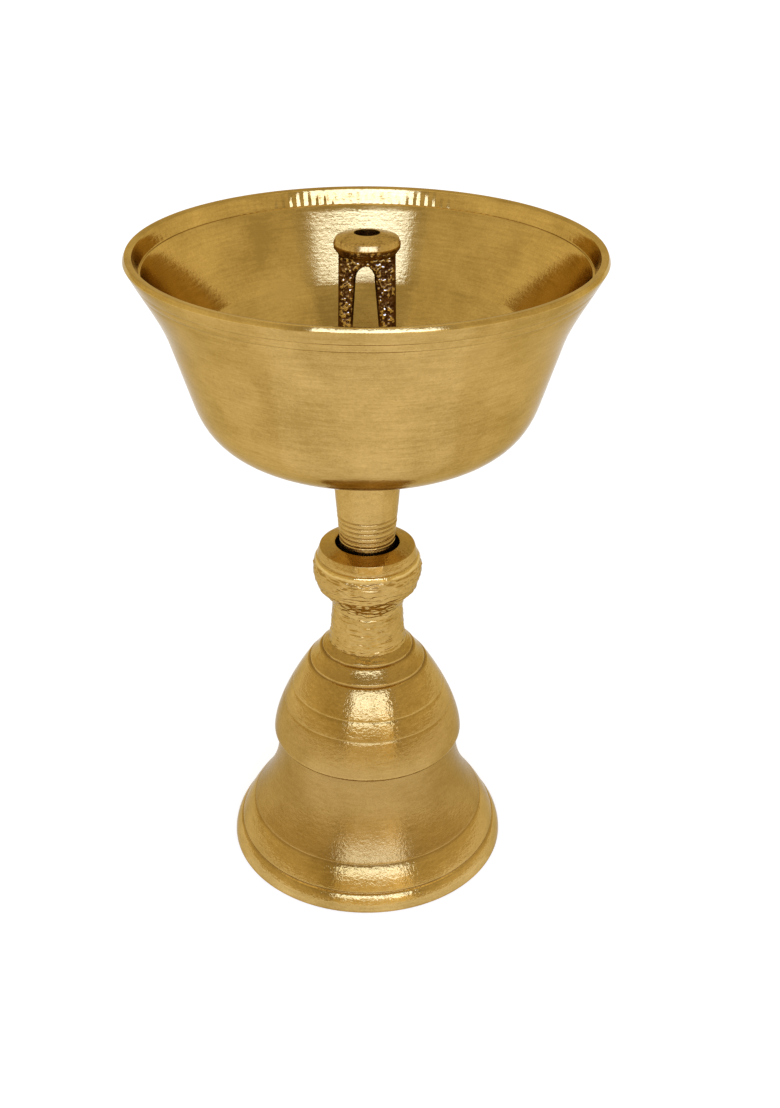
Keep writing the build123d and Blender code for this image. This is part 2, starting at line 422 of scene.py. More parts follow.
def node(tree, kind, inputs=None, **settings):
    """A new shader node with its settings, and its inputs set or linked by name."""
    made = tree.nodes.new("ShaderNode" + kind)
    for key, value in settings.items():
        setattr(made, key, value)
    for key, value in (inputs or {}).items():
        if isinstance(value, bpy.types.NodeSocket):
            tree.links.new(value, made.inputs[key])
        else:
            made.inputs[key].default_value = value
    return made


def math_node(tree, operation, *values):
    """The result of a sum on numbers or sockets."""
    return node(tree, "Math", dict(enumerate(values)), operation=operation).outputs[0]


def spread(tree, value, low, high, to_low=0.0, to_high=1.0):
    """A value taken from one range to another, and held inside it."""
    places = {"Value": value, "From Min": low, "From Max": high, "To Min": to_low, "To Max": to_high}
    return node(tree, "MapRange", places).outputs[0]


def blended(tree, factor, first, second):
    """A colour between two colours or sockets."""
    made = node(tree, "Mix", data_type="RGBA")
    for socket, value in ((made.inputs[0], factor), (made.inputs[6], first), (made.inputs[7], second)):
        if isinstance(value, bpy.types.NodeSocket):
            tree.links.new(value, socket)
        else:
            socket.default_value = value
    return made.outputs[2]


def noise_at(tree, vector, scale, detail=3.0):
    """Values of a noise texture."""
    places = {"Vector": vector, "Scale": scale, "Detail": detail}
    return node(tree, "TexNoise", places).outputs["Fac"]


def new_material(name):
    """A material with its tree cleared, and its output node."""
    material = bpy.data.materials.new(name)
    material.use_nodes = True
    material.node_tree.nodes.clear()
    return material, material.node_tree, material.node_tree.nodes.new("ShaderNodeOutputMaterial")


def turned_place(tree, around, tall):
    """Coordinates of patterns that run round the piece, by their cells round it and along it."""
    place = node(tree, "TexCoord").outputs["Object"]
    flat = node(tree, "VectorMath", {0: place, 1: (1, 1, 0)}, operation="MULTIPLY").outputs[0]
    side = node(tree, "VectorMath", {0: flat}, operation="NORMALIZE").outputs[0]
    wide = node(tree, "VectorMath", {0: side, "Scale": around}, operation="SCALE").outputs[0]
    along = attribute(tree, "along")
    high = node(tree, "CombineXYZ", {"Z": math_node(tree, "MULTIPLY", along, tall)}).outputs[0]
    return node(tree, "VectorMath", {0: wide, 1: high}, operation="ADD").outputs[0]


# Brass: colours
BRASS_LIGHT = (0.55, 0.355, 0.105, 1)
BRASS_DEEP = (0.355, 0.214, 0.048, 1)
BRASS_STAIN = (0.24, 0.125, 0.03, 1)
# Paler copies of the brass colours, painted light for the stretches of polish
POLISH_PAINTED_LIFT_DEEP = (0.54, 0.37, 0.12, 1)
POLISH_PAINTED_LIFT_PALE = (0.84, 0.61, 0.22, 1)
BRASS_EDGE = (0.72, 0.66, 0.52, 1)

# Brass: how dull each surface was left. A value below 0 is a smoother polish that is also painted paler:
# painted light that lifts the shade inside the bowl and under the collar and the bowl, and brightens the
# highlights on the collar's facet and the foot band
DULL_ROUGHNESS = 0.1
DULL_STAIN = 0.35
BELL_DULL = 1.0
DOME_DULL = 0.65
INSIDE_POLISH_PAINTED_LIFT = -0.5
UNDERSIDE_POLISH_PAINTED_LIFT = -0.2
FACET_POLISH_PAINTED_LIFT = -0.6
FOOT_POLISH_PAINTED_LIFT = -0.15
SEAT_POLISH_PAINTED_LIFT = -0.7
SEAT_SHARE = 0.35

# Brass: cells of the tool's lines round a piece and along it, and scales of its clouds and specks
FINE_LINES = (14.0, 3.2)
BROAD_LINES = (4.5, 1.6)
CLOUD_SCALE = 75.0
SPECK_SCALE = 1500.0
DUST_SCALE = 3600.0

# Brass: weights of its patterns, and the ranges over which they show
CLOUD_TONE = 0.48
LINE_TONE = 0.14
SPECK_TONE = 0.12
TONE_RANGE = (0.4, 0.6)
TARNISH_RANGE = (0.58, 0.76)
SPOT_RANGE = (0.66, 0.76)
SPOT_SHARE = 0.4
CUT_RANGE = (0.1, 0.28)
CUT_SHARE = 0.75
WEAR_RANGE = (0.35, 0.65)
WEAR_SHINE = 0.05
WEAR_ROUGH = 0.06
BROAD_HEIGHT = 0.8
FINE_HEIGHT = 0.6
SPECK_HEIGHT = 2.0
DUST_HEIGHT = SPECK_HEIGHT / 3
BRUSHED = 0.4
BRUSHED_TURN = 0.25

# Brass: roughness of each turned piece, depth of its tool lines in millimetres, and share of tarnish
BASE_FINISH = (0.15, 0.028, 0.45)
STEM_FINISH = (0.24, 0.03, 0.35)
BOWL_FINISH = (0.17, 0.007, 0.4)


def weighted(tree, *pairs):
    """The sum of sockets, each times its weight."""
    total = 0.0
    for socket, weight in pairs:
        total = math_node(tree, "MULTIPLY_ADD", socket, weight, total)
    return total


def attribute(tree, name):
    """Values that the mesh carries at its points."""
    return node(tree, "Attribute", attribute_name=name).outputs["Fac"]


def turned_brass(name, shine, line_depth, stain):
    """Turned satin brass: fine rings left by the tool, a thin uneven tarnish, a darker colour in its
    grooves and cuts, and a paler painted-light colour where it has its polish.
    """
    material, tree, output = new_material(name)
    fine = noise_at(tree, turned_place(tree, *FINE_LINES), 1.0, detail=2.0)
    broad = noise_at(tree, turned_place(tree, *BROAD_LINES), 1.0, detail=3.0)
    place = node(tree, "TexCoord").outputs["Object"]
    cloud = noise_at(tree, place, CLOUD_SCALE, detail=6.0)
    speck = noise_at(tree, place, SPECK_SCALE, detail=2.0)
    dust = noise_at(tree, place, DUST_SCALE, detail=1.0)
    lines_tone = ((broad, LINE_TONE), (fine, LINE_TONE))
    tone = weighted(tree, (cloud, CLOUD_TONE), *lines_tone, (speck, SPECK_TONE), (dust, SPECK_TONE))
    shade = spread(tree, tone, *TONE_RANGE)
    colour = blended(tree, shade, BRASS_DEEP, BRASS_LIGHT)
    polish_painted_lift = blended(tree, shade, POLISH_PAINTED_LIFT_DEEP, POLISH_PAINTED_LIFT_PALE)
    tarnish = math_node(tree, "MULTIPLY", spread(tree, cloud, *TARNISH_RANGE), stain)
    colour = blended(tree, tarnish, colour, BRASS_STAIN)
    colour = blended(tree, spread(tree, speck, *SPOT_RANGE, 0.0, SPOT_SHARE), colour, BRASS_STAIN)
    # Darker towards the bottom of the grooves and tool cuts
    cut = spread(tree, attribute(tree, "cut"), *CUT_RANGE, 0.0, CUT_SHARE)
    colour = blended(tree, cut, colour, BRASS_STAIN)
    dull = attribute(tree, "dull")
    colour = blended(tree, math_node(tree, "MULTIPLY", dull, DULL_STAIN), colour, BRASS_STAIN)
    # Painted light: where dull is below 0 the colour turns to the paler copy, which lifts shade and
    # brightens highlights
    colour = blended(tree, spread(tree, dull, 0.0, -1.0), colour, polish_painted_lift)
    wear = weighted(tree, (fine, 0.5), (cloud, 0.5))
    rough = spread(tree, wear, *WEAR_RANGE, shine - WEAR_SHINE, shine + WEAR_ROUGH)
    rough = math_node(tree, "MULTIPLY_ADD", dull, DULL_ROUGHNESS, rough)
    lines = ((broad, BROAD_HEIGHT), (fine, FINE_HEIGHT))
    height = weighted(tree, *lines, (speck, SPECK_HEIGHT), (dust, DUST_HEIGHT))
    bump = node(tree, "Bump", {"Strength": 1.0, "Distance": line_depth * MM, "Height": height})
    tangent = node(tree, "Tangent", direction_type="RADIAL", axis="Z")
    shader = node(tree, "BsdfPrincipled", {
        "Base Color": colour,
        "Metallic": 1.0,
        "Roughness": rough,
        "Specular Tint": BRASS_EDGE,
        "Anisotropic": BRUSHED,
        "Anisotropic Rotation": BRUSHED_TURN,
        "Tangent": tangent.outputs[0],
        "Normal": bump.outputs[0],
    })
    tree.links.new(shader.outputs[0], output.inputs[0])
    return material


# Casting: colours, scales of its patterns, and the ranges over which they show
CAST_DARK = (0.10, 0.046, 0.014, 1)
CAST_WARM = (0.24, 0.13, 0.036, 1)
# High spots of the skin: partly brass worn by rubbing, partly a painted highlight
CAST_RUBBED_GLINT = (0.95, 0.86, 0.62, 1)
CAP_BRASS = (0.58, 0.39, 0.13, 1)
CAST_CLOUD_SCALE = 420.0
CAST_PIT_SCALE = 2600.0
CAST_WARM_RANGE = (0.4, 0.65)
CAST_RUBBED_GLINT_RANGE = (0.06, 0.2)
CAP_MOTTLE_RANGE = (0.47, 0.68)
CAST_CREST = 0.28
CAST_ROUGHNESS = 0.42
CREST_ROUGHNESS = 0.12
CAP_ROUGHNESS = 0.22
CAP_PITS = 0.3
PIT_DEPTH = 0.05
PIT_STRENGTH = 0.7


def cast_brass(name):
    """Brass with its dark skin from the mould, worn bright by rubbing on its high spots and painted
    near-white there as painted glints, and a turned cap.
    """
    material, tree, output = new_material(name)
    skin = attribute(tree, "skin")
    crest = attribute(tree, "crest")
    place = node(tree, "TexCoord").outputs["Object"]
    cloud = noise_at(tree, place, CAST_CLOUD_SCALE, detail=4.0)
    pits = noise_at(tree, place, CAST_PIT_SCALE, detail=2.0)
    dark = blended(tree, spread(tree, cloud, *CAST_WARM_RANGE), CAST_DARK, CAST_WARM)
    # Painted highlight: the skin's high spots turn near-white, as glints
    rubbed_glint = blended(tree, spread(tree, crest, *CAST_RUBBED_GLINT_RANGE), dark, CAST_RUBBED_GLINT)
    mottle = weighted(tree, (cloud, 0.5), (pits, 0.5))
    cap = blended(tree, spread(tree, mottle, *CAP_MOTTLE_RANGE), CAP_BRASS, CAST_WARM)
    colour = blended(tree, skin, cap, rubbed_glint)
    skin_rough = spread(tree, crest, 0.0, CAST_CREST, CAST_ROUGHNESS, CREST_ROUGHNESS)
    rough = node(tree, "Mix", {0: skin, 2: CAP_ROUGHNESS, 3: skin_rough}).outputs[0]
    height = math_node(tree, "MULTIPLY", pits, spread(tree, skin, 0.0, 1.0, CAP_PITS, 1.0))
    bump = node(tree, "Bump", {"Strength": PIT_STRENGTH, "Distance": PIT_DEPTH * MM, "Height": height})
    shader = node(tree, "BsdfPrincipled", {
        "Base Color": colour,
        "Metallic": 1.0,
        "Roughness": rough,
        "Specular Tint": BRASS_EDGE,
        "Normal": bump.outputs[0],
    })
    tree.links.new(shader.outputs[0], output.inputs[0])
    return material


# Leather: colours, fibres round the washer and along its outline, and pores
LEATHER_DARK = (0.035, 0.018, 0.008, 1)
LEATHER_LIGHT = (0.13, 0.07, 0.03, 1)
LEATHER_FIBRES = (9.0, 6.0)
LEATHER_FIBRE_RANGE = (0.3, 0.7)
PORE_SCALE = 2200.0
PORE_RANGE = (0.0, 0.5)
PORE_ROUGHNESS = (0.36, 0.6)
PORE_DEPTH = 0.05
PORE_STRENGTH = 0.6


def oiled_leather(name):
    """Leather soaked with butter, with its fibres at the cut edge."""
    material, tree, output = new_material(name)
    fibre = noise_at(tree, turned_place(tree, *LEATHER_FIBRES), 1.0, detail=4.0)
    place = node(tree, "TexCoord").outputs["Object"]
    pores = node(tree, "TexVoronoi", {"Vector": place, "Scale": PORE_SCALE}).outputs["Distance"]
    colour = blended(tree, spread(tree, fibre, *LEATHER_FIBRE_RANGE), LEATHER_DARK, LEATHER_LIGHT)
    rough = spread(tree, pores, *PORE_RANGE, *PORE_ROUGHNESS)
    bump = node(tree, "Bump", {"Strength": PORE_STRENGTH, "Distance": PORE_DEPTH * MM, "Height": pores})
    shader = node(tree, "BsdfPrincipled", {
        "Base Color": colour,
        "Roughness": rough,
        "Normal": bump.outputs[0],
    })
    tree.links.new(shader.outputs[0], output.inputs[0])
    return material


def base_marks(rows, turn):
    """Chatter on the collar and neck, and the thread in the tapped hole."""
    coarse, fine = [round_grain(rows, turn, size, CHATTER_SEED) for size in CHATTER_SIZES]
    chatter = rows[:, 2, None] * (1 + CHATTER_SHARES[0] * coarse + CHATTER_SHARES[1] * fine) / 2
    return chatter + thread(rows, turn, TAPPED_RADIUS, TAIL_PITCH, TAIL_THREAD_DEPTH)


def make_base():
    """The base: foot, bell, dome, neck and collar outside, socket, tapped hole and hollow inside."""
    dome = cubic(DOME_EDGE, DOME_PULLS, DOME_TOP)
    dome_dull = np.interp(np.linspace(0, 1, CURVE_POINTS), DOME_SCORES, (DOME_DULL, 0))
    underside = cubic(NECK_TOP, UNDERSIDE_PULLS, BULGE_FOOT)
    outside = [
        stretch([FOOT_INNER, FOOT_CORNER, FOOT_EDGE]),
        stretch(bowed(FOOT_EDGE, FOOT_BAND_TOP, FOOT_BAND_SWELL), dull=FOOT_POLISH_PAINTED_LIFT),
        stretch(bowed(FOOT_BAND_TOP, BELL_FOOT, MOULDING_SWELL)),
        stretch(cubic(BELL_FOOT, BELL_PULLS, WAIST), dull=BELL_DULL),
        stretch(bowed(WAIST, DOME_EDGE, DOME_EDGE_SWELL)),
        stretch(dome, dull=dome_dull),
        stretch(bowed(DOME_TOP, RING_TOP, -RING_HOLLOW)),
        stretch([RING_TOP, SHOULDER], ROUGH_SPACING, CHATTER_SHOULDER * CHATTER_DEPTH),
        stretch([SHOULDER, NECK_FOOT, NECK_TOP], ROUGH_SPACING, CHATTER_NECK * CHATTER_DEPTH),
        stretch(underside, ROUGH_SPACING, CHATTER_DEPTH, UNDERSIDE_POLISH_PAINTED_LIFT),
        stretch(cubic(BULGE_FOOT, BULGE_PULLS, BULGE_TOP), ROUGH_SPACING, CHATTER_DEPTH),
        stretch([BULGE_TOP, FACET_TOP], dull=FACET_POLISH_PAINTED_LIFT),
        stretch([FACET_TOP, RIDGE, SOCKET_RIM, SOCKET_EDGE]),
    ]
    inside = [
        stretch([(SOCKET_EDGE[0], STEM_SEAT), (TAPPED_RADIUS, STEM_SEAT)], INSIDE_SPACING),
        stretch([(TAPPED_RADIUS, STEM_SEAT), (TAPPED_RADIUS, HOLLOW_TOP[1])], THREAD_SPACING),
        stretch(cubic(HOLLOW_TOP, HOLLOW_TOP_PULLS, HOLLOW_WAIST), INSIDE_SPACING),
        stretch(cubic(HOLLOW_WAIST, HOLLOW_FOOT_PULLS, FOOT_INNER), INSIDE_SPACING),
    ]
    grooves = [(corner, groove, size) for corner, size in GROOVES]
    scores = [BELL_FOOT] + [dome[round(share * (CURVE_POINTS - 1))] for share in DOME_SCORES]
    rows = rings(outside + inside, grooves + [(place, score, 1.0) for place in scores])
    mesh = lathe_mesh("base", rows, BASE_SEGMENTS, marks=base_marks)
    piece("turned_base", mesh, "base", turned_brass("base_brass_turned", *BASE_FINISH))


def stem_marks(rows, turn):
    """Coarse uneven rings above the collar, and the threads of the tail and the stud."""
    near = np.clip((SOCKET_RIM[1] + RING_MARK_HEIGHT - rows[:, 1]) / RING_MARK_HEIGHT, 0, 1)
    near = np.where(rows[:, 1] > STEM_SEAT, np.minimum(1, 2 * near), 0)
    uneven = 1 + round_grain(rows, turn, RING_MARK_SIZE, RING_MARK_SEED)
    coarse = RING_MARK_DEPTH * near[:, None] * uneven
    tail = thread(rows, turn, TAIL_RADIUS, TAIL_PITCH, TAIL_THREAD_DEPTH)
    stud = thread(rows, turn, STUD_RADIUS, STUD_PITCH, STUD_THREAD_DEPTH)
    return coarse + tail + stud


def make_stem():
    """The tapered stem, with its threaded tail below and its threaded stud above."""
    tail_tip = TAIL_RADIUS - THREAD_CHAMFER
    stud_tip = STUD_RADIUS - THREAD_CHAMFER
    taper = (STEM_TOP_RADIUS - STEM_SEAT_RADIUS) / (BOWL_SEAT - STEM_SEAT)
    heights = TURNING_RING_START + TURNING_RING_PITCH * np.arange(TURNING_RING_COUNT)
    cuts = [((STEM_SEAT_RADIUS + taper * (z - STEM_SEAT), z), nick, 1.0) for z in heights]
    rows = rings([
        stretch([(THREAD_END_RADIUS, TAIL_END), (tail_tip, TAIL_END)], INSIDE_SPACING),
        stretch([(TAIL_RADIUS, TAIL_END + THREAD_CHAMFER), (TAIL_RADIUS, STEM_SEAT)], THREAD_SPACING),
        stretch([(STEM_SEAT_RADIUS, STEM_SEAT), (STEM_TOP_RADIUS, BOWL_SEAT)], ROUGH_SPACING),
        stretch([(STUD_RADIUS, BOWL_SEAT), (STUD_RADIUS, STUD_TOP - THREAD_CHAMFER)], THREAD_SPACING),
        stretch([(stud_tip, STUD_TOP), (THREAD_END_RADIUS, STUD_TOP)], INSIDE_SPACING),
    ], cuts, closed=False)
    mesh = lathe_mesh("stem", rows, STEM_SEGMENTS, closed=False, marks=stem_marks)
    piece("turned_stem", mesh, "stem", turned_brass("stem_brass_turned", *STEM_FINISH))


def bowl_marks(rows, turn):
    """Upright bars of chatter in the rebate, deepest at the back, each leaning its own way."""
    lean = (LIP_INNER[1] - rows[:, 1, None]) / (LIP_INNER[1] - LEDGE_OUTER[1])
    count = len(turn) // BAR_SEGMENTS
    tilts = np.random.default_rng(BAR_SEED).uniform(BAR_LEAST_TILT, 1, count) * (-1) ** np.arange(count)
    bars = np.repeat(tilts, BAR_SEGMENTS)
    return rows[:, 2, None] * lean * bars * np.clip(np.sin(turn), BAR_LEAST_SIDE, 1) ** 2


def make_bowl():
    """The bowl: its outside, the bevelled lip, the rebate with its ledge, and its inside."""
    flare = cubic(WALL_TOP, FLARE_PULLS, RIM)
    seat = [(BOWL_HOLE_RADIUS, BOWL_SEAT), (FLAT_RADIUS, BOWL_SEAT)]
    floor = [(FLAT_RADIUS, BOWL_FLOOR), (BOWL_HOLE_RADIUS, BOWL_FLOOR)]
    heel_polish_painted_lift = np.interp(np.linspace(0, 1, CURVE_POINTS), (0, SEAT_SHARE), (SEAT_POLISH_PAINTED_LIFT, 0))
    rows = rings([
        stretch(seat),
        stretch(cubic(seat[1], HEEL_PULLS, WALL_FOOT), BOWL_SPACING, dull=heel_polish_painted_lift),
        stretch([WALL_FOOT, WALL_TOP], BOWL_SPACING),
        stretch(flare, BOWL_SPACING),
        stretch([RIM, LIP_CREST], dull=INSIDE_POLISH_PAINTED_LIFT),
        stretch([LIP_INNER, LEDGE_OUTER], PLAIN_SPACING, BAR_DEPTH, INSIDE_POLISH_PAINTED_LIFT),
        stretch(bowed(LEDGE_INNER, INNER_HEEL, -INNER_WALL_HOLLOW), BOWL_SPACING, dull=INSIDE_POLISH_PAINTED_LIFT),
        stretch(cubic(INNER_HEEL, INNER_PULLS, floor[0]), BOWL_SPACING, dull=INSIDE_POLISH_PAINTED_LIFT),
        stretch(floor),
    ], [(flare[round(share * (CURVE_POINTS - 1))], score, 1.0) for share in RIM_SCORES])
    mesh = lathe_mesh("bowl", rows, BOWL_SEGMENTS, marks=bowl_marks)
    piece("turned_bowl", mesh, "bowl", turned_brass("bowl_brass_turned", *BOWL_FINISH))


def washer_marks(rows, turn):
    """Fibres at the washer's cut edge."""
    return FIBRE_DEPTH * (1 + round_grain(rows, turn, FIBRE_SIZE, FIBRE_SEED))


def make_washer():
    """The soft washer under the wick holder's foot."""
    inner = BOWL_HOLE_RADIUS
    face = WASHER_RADIUS - WASHER_EDGE
    low = (WASHER_RADIUS, BOWL_FLOOR + WASHER_EDGE)
    high = (WASHER_RADIUS, WASHER_TOP - WASHER_EDGE)
    rows = rings([
        stretch([(inner, BOWL_FLOOR), (face, BOWL_FLOOR)], WASHER_SPACING),
        stretch([low, high], WASHER_EDGE_SPACING),
        stretch([(face, WASHER_TOP), (inner, WASHER_TOP)], WASHER_SPACING),
    ])
    mesh = lathe_mesh("sealing_washer", rows, WASHER_SEGMENTS, marks=washer_marks)
    leather = oiled_leather("oiled_leather")
    piece("leather_washer", mesh, "sealing_washer", leather)


def modified(made):
    """The mesh of an object with its modifiers applied, with the object removed."""
    graph = bpy.context.evaluated_depsgraph_get()
    mesh = bpy.data.meshes.new_from_object(made.evaluated_get(graph))
    bpy.data.objects.remove(made)
    return mesh


def legs_mesh():
    """Both legs and the arch between them, rounded along their long edges."""
    arch_middle = sum(SLOT_TOP) / 2
    arch_reach = (SLOT_TOP[1] - SLOT_TOP[0]) / 2
    swing = np.linspace(math.pi, 0, ARCH_POINTS)
    arch = np.column_stack([arch_middle + arch_reach * np.cos(swing),
                            ARCH_SPRING + (ARCH_TOP - ARCH_SPRING) * np.sin(swing)])
    right = [(LEG_FOOT_OUTER, LEG_ROOT), (LEG_OUTER, NECK_LOW), (LEG_OUTER, CAP_LOW)]
    left = [(-x, z) for x, z in right[::-1]]
    corners = [(SLOT_FOOT[0], LEG_ROOT), *arch, (SLOT_FOOT[1], LEG_ROOT), *right, *left]
    build = bmesh.new()
    front = build.faces.new([build.verts.new((x, -LEG_DEPTH / 2, z)) for x, z in corners])
    swept = bmesh.ops.extrude_face_region(build, geom=[front])
    moved = [item for item in swept["geom"] if isinstance(item, bmesh.types.BMVert)]
    bmesh.ops.translate(build, vec=(0, LEG_DEPTH, 0), verts=moved)
    bmesh.ops.recalc_face_normals(build, faces=build.faces)
    ends = [(edge, edge.verts[0].co.y, edge.verts[1].co.y) for edge in build.edges]
    long_edges = [edge for edge, first, last in ends if abs(first - last) < LEG_DEPTH / 2]
    bmesh.ops.bevel(build, geom=long_edges, offset=LEG_ROUND, segments=LEG_ROUND_STEPS, affect="EDGES",
                    profile=0.5, clamp_overlap=True)
    mesh = bpy.data.meshes.new("legs")
    build.to_mesh(mesh)
    build.free()
    return mesh


def joined_mesh(name, *meshes):
    """One mesh of several, which are removed."""
    build = bmesh.new()
    for mesh in meshes:
        build.from_mesh(mesh)
        bpy.data.meshes.remove(mesh)
    joined = bpy.data.meshes.new(name)
    build.to_mesh(joined)
    build.free()
    return joined


def holder_shell():
    """The cast part of the wick holder in millimetres: legs, foot boss and neck."""
    hole = rings([
        stretch([(DRILL_END_RADIUS, ARCH_SPRING), (WICK_PASS_RADIUS, ARCH_SPRING)]),
        stretch([(WICK_PASS_RADIUS, NECK_LOW), (WICK_HOLE_RADIUS, NECK_LOW)]),
        stretch([(WICK_HOLE_RADIUS, CAP_TOP), (DRILL_END_RADIUS, CAP_TOP)]),
    ], closed=False)
    drill = mesh_object("drill", lathe_mesh("drill", hole, HOLDER_SEGMENTS, closed=False))
    legs = mesh_object("legs", legs_mesh())
    bored = legs.modifiers.new("bored", "BOOLEAN")
    bored.object = drill
    bored.solver = "MANIFOLD"
    legs_bored = modified(legs)
    bpy.data.objects.remove(drill)
    boss = rings([
        stretch([(THREAD_END_RADIUS, BORE_TOP), (BORE_RADIUS, BORE_TOP)]),
        stretch([(BORE_RADIUS, WASHER_TOP), (BOSS_RADIUS, WASHER_TOP)]),
        stretch([(BOSS_RADIUS, BOSS_TOP - BOSS_EDGE), (BOSS_RADIUS - BOSS_EDGE, BOSS_TOP)]),
        stretch([(THREAD_END_RADIUS, BOSS_TOP)]),
    ], closed=False)
    neck = rings([
        stretch([(WICK_HOLE_RADIUS, NECK_LOW), (LEG_OUTER, NECK_LOW), (CAP_RADIUS, CAP_LOW)]),
        stretch([(CAP_ROOT_RADIUS, CAP_ROOT), (WICK_HOLE_RADIUS, CAP_ROOT)]),
    ])
    boss_mesh = lathe_mesh("boss", boss, HOLDER_SEGMENTS, closed=False)
    neck_mesh = lathe_mesh("neck", neck, HOLDER_SEGMENTS)
    shell = mesh_object("holder", joined_mesh("holder", legs_bored, boss_mesh, neck_mesh))
    fused = shell.modifiers.new("fused", "REMESH")
    fused.mode = "VOXEL"
    fused.voxel_size = HOLDER_VOXEL
    eased_edges = shell.modifiers.new("eased", "SMOOTH")
    eased_edges.iterations = HOLDER_EASE_PASSES
    return modified(shell)


def vertex_values(mesh, name):
    """Places or normals of a mesh's points, a row each."""
    values = np.empty(len(mesh.vertices) * 3)
    mesh.vertices.foreach_get(name, values)
    return values.reshape(-1, 3)


def make_wick_holder():
    """The wick holder, with the lumps of its casting skin up to the ragged edge of its turned cap."""
    cap = rings([stretch([(WICK_HOLE_RADIUS, CAP_LOW), (CAP_RADIUS, CAP_LOW)], CAP_SPACING),
                 stretch([CAP_SHOULDER, CAP_RIDGE, (WICK_HOLE_RADIUS, CAP_TOP)], CAP_SPACING)])
    mesh = joined_mesh("holder", holder_shell(), lathe_mesh("cap", cap, CAP_SEGMENTS))
    points = vertex_values(mesh, "co")
    out = vertex_values(mesh, "normal")
    ragged = SKIN_HIGH + SKIN_EDGE * grain(points * SKIN_EDGE_CELLS, SKIN_EDGE_SEED)
    skin = np.clip((ragged - points[:, 2]) / SKIN_EDGE, 0, 1)
    layers = zip(SKIN_SIZES, SKIN_SEEDS, SKIN_SHARES)
    lumps = sum(grain(points / size, seed) * share for size, seed, share in layers)
    # The flanks of the legs were left smoother than their faces
    lumps *= np.clip(np.abs(out[:, 1]) ** SKIN_FACE_POWER + SKIN_FLANK, 0, 1)
    points += out * (SKIN_DEPTH * skin * (lumps - SKIN_SINK))[:, None]
    mesh.vertices.foreach_set("co", points.ravel())
    mesh.attributes.new("skin", "FLOAT", "POINT").data.foreach_set("value", skin)
    mesh.attributes.new("crest", "FLOAT", "POINT").data.foreach_set("value", lumps)
    mesh.update()
    piece("cast_wick_holder", mesh, "wick_holder", cast_brass("brass_casting"))


# Floor: half its width in metres, its colour, and the white that it adds for the background
FLOOR_REACH = 6.0
FLOOR_TONE = (0.50, 0.54, 0.68, 1)
FLOOR_LIFT = 0.67


def shown_rays(tree):
    """1 for rays that show the background, straight or in metal or glass, and 0 for the others."""
    path = node(tree, "LightPath").outputs
    shown = math_node(tree, "MAXIMUM", path["Is Camera Ray"], path["Is Glossy Ray"])
    return math_node(tree, "MAXIMUM", shown, path["Is Transmission Ray"])


def make_floor():
    """A plain pale floor that keeps the lamp's shadow."""
    mesh = bpy.data.meshes.new("floor")
    near = -FLOOR_REACH
    far = FLOOR_REACH
    corners = [(near, near), (far, near), (far, far), (near, far)]
    mesh.from_pydata([(x, y, cad_bounds[0].z) for x, y in corners], [], [(0, 1, 2, 3)])
    material, tree, output = new_material("pale_floor")
    matte = node(tree, "BsdfDiffuse", {"Color": FLOOR_TONE})
    lift = math_node(tree, "MULTIPLY", shown_rays(tree), FLOOR_LIFT)
    glow = node(tree, "Emission", {"Color": (1, 1, 1, 1), "Strength": lift})
    both = node(tree, "AddShader", {0: matte.outputs[0], 1: glow.outputs[0]})
    tree.links.new(both.outputs[0], output.inputs[0])
    mesh.materials.append(material)
    mesh_object("floor", mesh)


# Room and lights: tints, levels, and bearings and heights as angles seen from the lamp
ROOM_TINT = (1.0, 0.86, 0.56, 1)
ROOM_LEVEL = 0.68
ROOM_LOW_LEVEL = 0.86
ROOM_LOW = math.radians(13)
ROOM_HIGH = math.radians(28)
CEILING_LEVEL = 1.35
GLOW_LEVEL = 1.1
GLEAM_LEVEL = 1.4
GLEAM_LEFT = math.radians(21)
SHADE_LEVEL = 0.53
STRIP_WIDTH = math.radians(8)
SOFT_EDGE = math.radians(3)
WINDOW_LEFT = math.radians(-26)
WINDOW_RIGHT = math.radians(34)
WINDOW_LOW = math.radians(23)
WINDOW_HIGH = math.radians(36)
LINTEL_HIGH = math.radians(60)
WINDOW_DISTANCE = 4.0
WINDOW_RADIANCE = 2.8
WINDOW_TINT = (0.74, 1.08, 2.5)
FILL_PLACE = (0.0, -0.085, 0.0005)
FILL_SIZES = ((0.08, 0.09), (0.14, 0.12), (0.21, 0.15))
FILL_RADIANCE = 0.17
FILL_TINT = (0.75, 1.0, 2.0)


def within(tree, value, low, high):
    """1 where a value lies between two bounds, with soft edges outside them."""
    over = spread(tree, value, low - SOFT_EDGE, low)
    under = spread(tree, value, high, high + SOFT_EDGE, 1.0, 0.0)
    return math_node(tree, "MULTIPLY", over, under)


